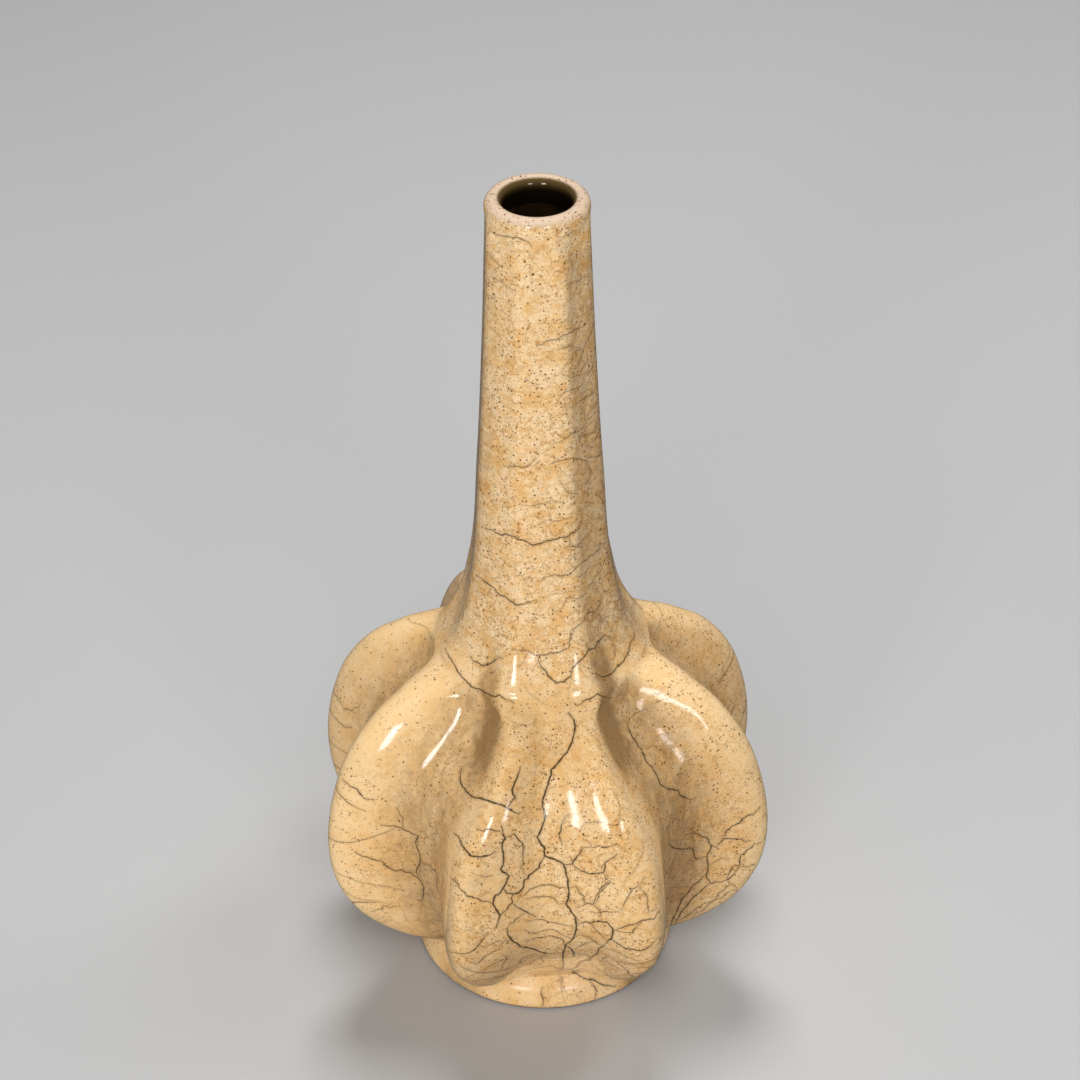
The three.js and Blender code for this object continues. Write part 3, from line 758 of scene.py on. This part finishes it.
def mottled(n):
    """Cream and ochre patches over a warm ground, streaks on the neck and rusty grain where it is rich."""
    inputs = {"Vector": n.wander, "Rotation": (0.0, STREAK_SLANT, 0.0), "Scale": STREAK_STRETCH}
    streak = n.noise(n.add("ShaderNodeMapping", inputs).outputs[0], STREAKS)
    broad = n.noise(n.place, BROAD)
    grain = n.noise(n.place, GRAIN)
    rust = n.times(n.band(n.fine, 0.50, 0.66), n.band(n.cluster, 0.40, 0.62, 0.25, 0.80))
    layers = (
        (n.band(n.cloud, 0.47, 0.60), n.band(n.on_neck, 0.0, 1.0, 0.35, 0.75), GLAZE_CREAM),
        (n.band(n.blotch, 0.50, 0.62), n.richer(0.10, 0.40), GLAZE_CREAM),
        (n.band(n.cloud, 0.47, 0.36), n.richer(0.20, 0.50), GLAZE_OCHRE),
        (n.band(n.blotch, 0.44, 0.34), n.richer(0.15, 0.55), GLAZE_OCHRE),
        (n.band(streak, 0.48, 0.62, 0.0, 0.65), n.on_neck, GLAZE_CREAM),
        (n.band(streak, 0.45, 0.36, 0.0, 0.45), n.on_neck, GLAZE_OCHRE),
        (rust, n.rich, GLAZE_MOTTLE),
        (n.band(grain, 0.46, 0.68, 0.0, 0.45), n.rich, GLAZE_MOTTLE),
    )
    colour = n.mix(n.band(broad, 0.35, 0.65), rgb(*GLAZE_WARM), rgb(*GLAZE_MIDDLE))
    for pattern, strength, paint in layers:
        colour = n.coat(colour, n.times(pattern, strength), paint)
    return colour


def with_painted_shading(n, colour):
    """Painted shade, broken into upright streaks, where the shading attribute is high, faint random
    blotches of the same brown, and painted light over the crests.
    """
    painted_shading = n.add("ShaderNodeAttribute", attribute_name="painted_shading").outputs["Fac"]
    upright = n.add("ShaderNodeMapping", {"Vector": n.wander, "Scale": SHADE_STREAK_STRETCH}).outputs[0]
    streaky = n.times(painted_shading, n.band(n.noise(upright, SHADE_STREAKS), 0.25, 0.75, 0.78, 1.22))
    uneven = n.math("ADD", streaky, n.band(n.blotch, 0.35, 0.65, -0.06, 0.06))
    colour = n.coat(colour, n.band(uneven, 0.0, 0.75, 0.0, 0.75), PAINTED_SHADE_AND_BLOTCH)
    return n.coat(colour, n.band(painted_shading, 0.0, -PAINTED_LIGHT_CREST, 0.0, 0.4), PAINTED_LIGHT_COLOUR)


def crackled(n, colour, stain):
    """Stain beside the drawn cracks, and nets of hairlines, most low down and on the neck's right."""
    nets = n.most(network(n, WIDE_NET), n.times(network(n, CLOSE_NET), 0.6))
    patches = n.band(n.noise(n.place, PATCHES), 0.42, 0.60)
    where = n.most(patches, n.times(n.on_neck, 0.5))
    aside = n.times(n.on_neck, n.level(n.across, NECK_SIDE_FADE, 0.34, 0.75))
    shown = n.most(n.band(n.level(n.height, LOW_FADE), 0.0, 1.0, 0.16, 0.42), aside)
    colour = n.coat(colour, n.times(stain, 0.30), CRACK_STAIN)
    return n.coat(colour, n.times(nets, where, shown), CRACK_STAIN)


def specked(n, colour):
    """Iron specks in three sizes, closest on the neck and where the glaze is rich."""
    clustered = n.times(n.band(n.cluster, 0.38, 0.60, 0.15, 0.85), n.rich)
    dense = n.most(clustered, n.times(n.on_neck, 0.52))
    tiny, tiny_halo = specks(n, TINY_SPECKS, dense)
    small, small_halo = specks(n, SMALL_SPECKS, dense)
    large, large_halo = specks(n, LARGE_SPECKS, n.times(dense, 0.22))
    halo = n.most(small_halo, large_halo, n.times(tiny_halo, 0.5))
    colour = n.coat(colour, n.times(halo, 0.30), SPECK_HALO)
    colour = n.coat(colour, n.times(tiny, 0.85), SPECK_BROWN)
    colour = n.coat(colour, n.times(small, 0.92), SPECK_DARK)
    return n.coat(colour, n.times(large, 0.96), SPECK_DARK)


def worn_lip(n, colour):
    """Pinkish glaze worn thin over the lip."""
    ragged = n.math("ADD", n.height, n.times(n.blotch, LIP_RAGGED * MM))
    return n.coat(colour, n.level(ragged, LIP_FADE, 0.0, 0.85), RIM_PINK)


def painted_shade_in_mouth(n, colour):
    """Painted shade inside the mouth: a brown band just inside the lip, dark below it."""
    flat = n.vector("MULTIPLY", n.place, (1, 1, 0))
    out = n.vector("LENGTH", flat, out="Value")
    colour = n.coat(colour, n.level(out, MOUTH_EDGE_FADE), MOUTH_EDGE_SHADE)
    deep = n.times(n.level(out, MOUTH_DARK_FADE), n.level(n.height, MOUTH_DEEP_FADE))
    return n.coat(colour, deep, MOUTH_DEEP_SHADE)


def relief(n, line, pitted):
    """Soft waves and pits; crumpled and flattened in the pitted patches, cut in by the cracks."""
    crumpled = n.times(n.noise(n.place, CRUMPLES), pitted)
    shares = (
        (n.noise(n.place, WAVES), 0.8),
        (n.noise(n.place, PITS), 0.12),
        (crumpled, 0.25),
        (pitted, -4.0),
        (line, -0.10),
    )
    height = n.folded("ADD", [n.times(part, share) for part, share in shares])
    return n.add("ShaderNodeBump", {"Strength": 0.35, "Distance": 0.0006, "Height": height}).outputs[0]


def glaze_material(name, rim=False, bare_edge=False):
    n = Glaze(name)
    line, stain = drawn_cracks(n)
    pitted = pitted_patches(n)
    # Painted shade and painted light from the shading attribute go into the glaze colour
    colour = crackled(n, with_painted_shading(n, mottled(n)), stain)
    if rim:
        colour = worn_lip(n, colour)
    colour = n.coat(specked(n, colour), n.times(line, 0.94), CRACK_DARK)
    # On the lip, painted shade darkens the inside of the mouth
    if rim:
        colour = painted_shade_in_mouth(n, colour)
    rough = n.math("ADD", n.band(n.fine, 0.3, 0.7, 0.08, 0.16), n.times(pitted, 0.04))
    if bare_edge:
        ragged = n.math("ADD", n.height, n.times(n.fine, BARE_RAGGED * MM))
        worn = n.level(ragged, BARE_FADE)
        colour = n.coat(colour, worn, BARE_CLAY)
        rough = n.math("ADD", n.most(rough, n.times(worn, 0.8)), 0.14)
    n.tree.links.new(colour, n.shader.inputs["Base Color"])
    n.tree.links.new(rough, n.shader.inputs["Roughness"])
    n.tree.links.new(relief(n, line, pitted), n.shader.inputs["Normal"])
    n.shader.inputs["IOR"].default_value = 1.5
    return n.material


def painted_shade_inside_material():
    """Painted shade over the whole inside of the bottle, dark brown clouded with near black."""
    n = Nodes("inside_painted_shade")
    place = n.add("ShaderNodeTexCoord").outputs["Object"]
    cloud = n.noise(place, MOUTH_CLOUD)
    colour = n.mix(n.band(cloud, 0.35, 0.65), rgb(*MOUTH_DEEP_SHADE), rgb(*INSIDE_SHADE_BROWN))
    n.tree.links.new(colour, n.shader.inputs["Base Color"])
    n.shader.inputs["Roughness"].default_value = 0.6
    return n.material


def camera_basis():
    """The photograph's camera: its place and its right, up and backward directions."""
    yaw, pitch, roll = (math.radians(v) for v in (CAMERA_YAW, CAMERA_PITCH, CAMERA_ROLL))
    forward = Vector((math.sin(yaw) * math.cos(pitch), math.cos(yaw) * math.cos(pitch), -math.sin(pitch)))
    right = Vector((math.cos(yaw), -math.sin(yaw), 0))
    up = right.cross(forward)
    turned_right = right * math.cos(roll) + up * math.sin(roll)
    turned_up = -right * math.sin(roll) + up * math.cos(roll)
    basis = Matrix((turned_right, turned_up, -forward)).transposed().to_4x4()
    place = Matrix.Translation((0, -CAMERA_DISTANCE, CAMERA_HEIGHT)) @ basis
    return Matrix.Rotation(-math.radians(CAMERA_AZIMUTH), 4, "Z") @ place


def jagged(points, random, depth=3, sway=0.07):
    """Line through the points that wanders a little between them."""
    for _ in range(depth):
        result = [points[0]]
        for a, b in zip(points[:-1], points[1:]):
            a, b = np.asarray(a, float), np.asarray(b, float)
            along = b - a
            off = np.array([-along[1], along[0]]) * random.normal(0, sway)
            result += [(a + b) / 2 + off, b]
        points = result
        sway *= 0.8
    return points


def cast_crack(points, random, trees, camera):
    """Crack on the surface, in millimetres, from its pixels in the photograph."""
    focus = CAMERA_LENS / SENSOR_WIDTH * PHOTO_SIZE
    origin = camera.translation
    result = []
    for x, y in jagged(points, random):
        ray = camera.to_3x3() @ Vector((x - PHOTO_SIZE / 2, PHOTO_SIZE / 2 - y, -focus))
        hits = [tree.ray_cast(origin, ray.normalized()) for tree in trees]
        hits = [hit for hit in hits if hit[0] is not None]
        if hits:
            place, normal = min(hits, key=lambda hit: hit[3])[:2]
            result.append((np.array(place) / MM, np.array(normal)))
    return result


def too_near(point, taken, clear):
    """Whether a point of another crack lies closer than clear."""
    return len(taken) > 0 and np.min(np.sum((taken - point) ** 2, 1)) < clear ** 2


def grow_one_way(field, phase, height, slant, random, taken):
    """Line that wanders over the surface until it meets a crack or has run its length."""
    reach = field.reach * random.uniform(0.5, 1.4)
    bend, line, course = 0.0, [], slant
    while len(line) * GROW_PACE < reach:
        point, normal = with_normal(outer_point, phase, height)
        line.append((point, normal))
        if len(line) > 2 and too_near(point, taken, GROW_MEETS):
            break
        bend = BEND_KEPT * bend + random.normal(0, BEND_SWAY)
        if random.random() < TURN_CHANCE:
            slant = course + random.normal(0, TURN_SWAY)
        slant += bend + PULL_BACK * (course - slant)
        radius = math.hypot(point[0], point[1])
        steepness = math.hypot(1.0, normal[2] / max(0.2, math.hypot(normal[0], normal[1])))
        phase += GROW_PACE * math.cos(slant) / radius
        height += GROW_PACE * math.sin(slant) / steepness
        if not field.height[0] - 1 < height < field.height[1] + 6:
            break
    return line


def grow_crack(field, random, taken):
    """Crack that grows one way, or both ways from a place that is clear of the others."""
    phase = math.radians(random.uniform(*field.phase))
    height = random.uniform(*field.height)
    slant = math.radians(random.normal(field.slant, 20)) * random.choice([-1, 1])
    if field.clear is None:
        return grow_one_way(field, phase, height, slant, random, taken)
    if too_near(outer_point(phase, height), taken, field.clear):
        return []
    ahead = grow_one_way(field, phase, height, slant, random, taken)
    behind = grow_one_way(field, phase, height, slant + math.pi, random, taken)
    return behind[:0:-1] + ahead


def sampled(line, pace=0.3):
    """Evenly spaced points, tangents and normals along a crack."""
    points = np.array([p for p, _ in line])
    normals = np.array([n for _, n in line])
    gaps = np.linalg.norm(np.diff(points, axis=0), axis=1)
    run = np.concatenate([[0], np.cumsum(gaps)])
    if run[-1] < CRACK_SHORTEST or gaps.max() > CRACK_GAP:
        return None
    at = np.linspace(0, run[-1], max(4, int(run[-1] / pace)))
    points, normals = (
        np.stack([np.interp(at, run, values[:, k]) for k in range(3)], -1) for values in (points, normals))
    tangents = np.gradient(points, axis=0)
    tangents /= np.linalg.norm(tangents, axis=1, keepdims=True) + 1e-9
    return points, tangents, normals, at, run[-1]


def crack_lines(pieces):
    """Every crack as half width and tone with its points and normals: drawn ones first, then the grown."""
    random = np.random.default_rng(CRACK_SEED)
    depsgraph = bpy.context.evaluated_depsgraph_get()
    trees = [BVHTree.FromObject(piece, depsgraph) for piece, _ in pieces]
    camera = camera_basis()
    lines = [(kind, cast_crack(points, random, trees, camera)) for kind, *points in CRACKS.values()]
    taken = np.array([p for _, line in lines for p, _ in line])
    for field in GROWN:
        for _ in range(field.count):
            line = grow_crack(field, random, taken)
            if line:
                width, tone = field.kind
                lines.append(((width, tone * random.uniform(0.6, 1.0)), line))
                taken = np.concatenate([taken, [p for p, _ in line]])
    return lines


def crack_samples(pieces):
    """Samples of every crack in arrays: place, tangent, normal, aside, width, tone, number, end."""
    parts = {name: [] for name in ("place", "tangent", "normal", "width", "tone", "number", "end")}
    for number, ((width, tone), line) in enumerate(crack_lines(pieces)):
        run = sampled(line) if len(line) > 3 else None
        if run is None:
            continue
        points, tangents, normals, at, length = run
        taper = np.clip(np.minimum(at, length - at) / CRACK_TAPER, 0.5, 1.0)
        wobble = 1 + 0.25 * np.sin(at * 1.9 + number) * np.sin(at * 0.7)
        ends = np.zeros(len(at))
        ends[0], ends[-1] = -1, 1
        widths = width * taper * wobble
        tones = np.full(len(at), tone)
        numbers = np.full(len(at), number)
        for part, values in zip(parts.values(), (points, tangents, normals, widths, tones, numbers, ends)):
            part.append(values)
    samples = {name: np.concatenate(values) for name, values in parts.items()}
    aside = np.cross(samples["normal"], samples["tangent"])
    samples["aside"] = aside / (np.linalg.norm(aside, axis=1, keepdims=True) + 1e-9)
    return samples


def nearest_cracks(samples, tree, centre, facing):
    """The nearest sample of each of the nearest cracks on a face's side, one for every layer."""
    nearest = {}
    for _, k, _ in sorted(tree.find_range(centre, CRACK_REACH), key=lambda item: item[2]):
        number = samples["number"][k]
        if number not in nearest and samples["normal"][k] @ facing > 0.2:
            nearest[number] = k
            if len(nearest) == len(CRACK_LAYERS):
                break
    return nearest.values()


def mesh_values(items, name, size, kind=float):
    """One property of all items of a mesh as an array."""
    values = np.empty(len(items) * size, kind)
    items.foreach_get(name, values)
    return values.reshape(-1, size) if size > 1 else values


def hold_cracks(mesh, samples, tree):
    """Holds the nearest cracks on each face's corners, as distance aside, half width and tone."""
    centres = mesh_values(mesh.polygons, "center", 3) / MM
    facings = mesh_values(mesh.polygons, "normal", 3)
    starts = mesh_values(mesh.polygons, "loop_start", 1, int)
    totals = mesh_values(mesh.polygons, "loop_total", 1, int)
    corner = mesh_values(mesh.loops, "vertex_index", 1, int)
    spots = mesh_values(mesh.vertices, "co", 3)[corner] / MM
    held = {name: np.tile([CRACK_AWAY, 0.0, 0.0], (len(spots), 1)) for name in CRACK_LAYERS}
    for face in np.flatnonzero(totals == 4):
        loops = slice(starts[face], starts[face] + 4)
        for name, k in zip(CRACK_LAYERS, nearest_cracks(samples, tree, centres[face], facings[face])):
            away = spots[loops] - samples["place"][k]
            beyond = np.maximum(0, away @ samples["tangent"][k] * samples["end"][k])
            held[name][loops, 0] = away @ samples["aside"][k]
            held[name][loops, 1] = samples["width"][k] - 0.5 * beyond
            held[name][loops, 2] = samples["tone"][k]
    for name in CRACK_LAYERS:
        layer = mesh.attributes.new(name, "FLOAT_VECTOR", "CORNER")
        layer.data.foreach_set("vector", held[name].ravel())


def draw_cracks(pieces):
    samples = crack_samples(pieces)
    tree = KDTree(len(samples["place"]))
    for k, point in enumerate(samples["place"]):
        tree.insert(point, k)
    tree.balance()
    for piece, _ in pieces:
        hold_cracks(piece.data, samples, tree)


def make_camera():
    data = bpy.data.cameras.new("photo_camera")
    data.lens = CAMERA_LENS
    data.sensor_width = SENSOR_WIDTH
    camera = linked("photo_camera", data)
    camera.matrix_world = camera_basis()
    bpy.context.scene.camera = camera


def soft_light(name, azimuth, elevation, distance, size, power, mirrored=False):
    """Softbox aimed at the body; azimuth from the camera's side, positive to the right, in degrees."""
    turn = math.radians(azimuth - CAMERA_AZIMUTH)
    rise = math.radians(elevation)
    target = Vector((0, 0, LIGHT_TARGET))
    aim = Vector((math.sin(turn) * math.cos(rise), -math.cos(turn) * math.cos(rise), math.sin(rise)))
    data = bpy.data.lights.new(name, "AREA")
    data.shape = "RECTANGLE"
    data.size, data.size_y = size
    data.energy = power
    light = linked(name, data)
    light.location = target + aim * distance
    light.rotation_euler = (-aim).to_track_quat("-Z", "Y").to_euler()
    light.visible_glossy = mirrored


def make_stage():
    mesh = bpy.data.meshes.new("floor")
    reach = 3.0
    corners = [(-reach, -reach, 0), (reach, -reach, 0), (reach, reach, 0), (-reach, reach, 0)]
    mesh.from_pydata(corners, [], [(0, 1, 2, 3)])
    floor = linked("floor", mesh)
    n = Nodes("floor_paper")
    n.shader.inputs["Base Color"].default_value = (0.55, 0.55, 0.55, 1)
    n.shader.inputs["Roughness"].default_value = 0.9
    mesh.materials.append(n.material)
    floor.visible_glossy = False
    world = bpy.data.worlds.new("studio")
    world.use_nodes = True
    sky = world.node_tree.nodes["Background"].inputs
    sky["Color"].default_value = (0.95, 0.97, 1.0, 1)
    sky["Strength"].default_value = 0.08
    bpy.context.scene.world = world
    bpy.context.scene.view_settings.view_transform = "Standard"
    soft_light("strip_left", -20, 16, 1.2, (0.20, 0.34), 3.8, mirrored=True)
    soft_light("strip_right", 20, 17, 1.2, (0.20, 0.34), 2.4, mirrored=True)
    soft_light("low_left", -45, 10, 1.4, (0.45, 0.45), 3.6)
    soft_light("front_top", 0, 45, 1.4, (0.80, 0.50), 5.0)
    soft_light("back_top", 180, 70, 1.4, (0.45, 0.45), 12.0)
    soft_light("back_right", 110, 55, 1.4, (0.45, 0.45), 4.1)


glaze = glaze_material("crackle_glaze")
lip_glaze = glaze_material("lip_glaze", rim=True)
foot_glaze = glaze_material("foot_glaze", bare_edge=True)
# Painted shade for the inside faces of every piece
inside = painted_shade_inside_material()

pieces = [
    (turned_piece("foot_skin", "foot_ring", foot_profile()), foot_glaze),
    (mesh_piece("floor_skin", "base_floor",
                [sheet_of(outer_point, np.linspace(FOOT_HEIGHT, FLOOR_TOP, 7))], caps=True), glaze),
    (wall_piece("lower_body_skin", "lower_body", FLOOR_TOP, GIRTH_LEVEL, BODY_SPACING), glaze),
    (wall_piece("upper_body_skin", "upper_body", GIRTH_LEVEL, COLLAR_BOTTOM, BODY_SPACING), glaze),
    (wall_piece("collar_skin", "shoulder_collar", COLLAR_BOTTOM, COLLAR_TOP, COLLAR_SPACING), glaze),
    (wall_piece("neck_lower_skin", "neck_lower", COLLAR_TOP, NECK_JOINT, NECK_SPACING), glaze),
    (wall_piece("neck_upper_skin", "neck_upper", NECK_JOINT, NECK_TOP, NECK_SPACING), glaze),
    (lip_piece("lip_skin", "mouth_rim"), lip_glaze),
]
for piece, material in pieces:
    piece.data.materials.append(material)
    piece.data.materials.append(inside)
draw_cracks(pieces)
make_camera()
make_stage()
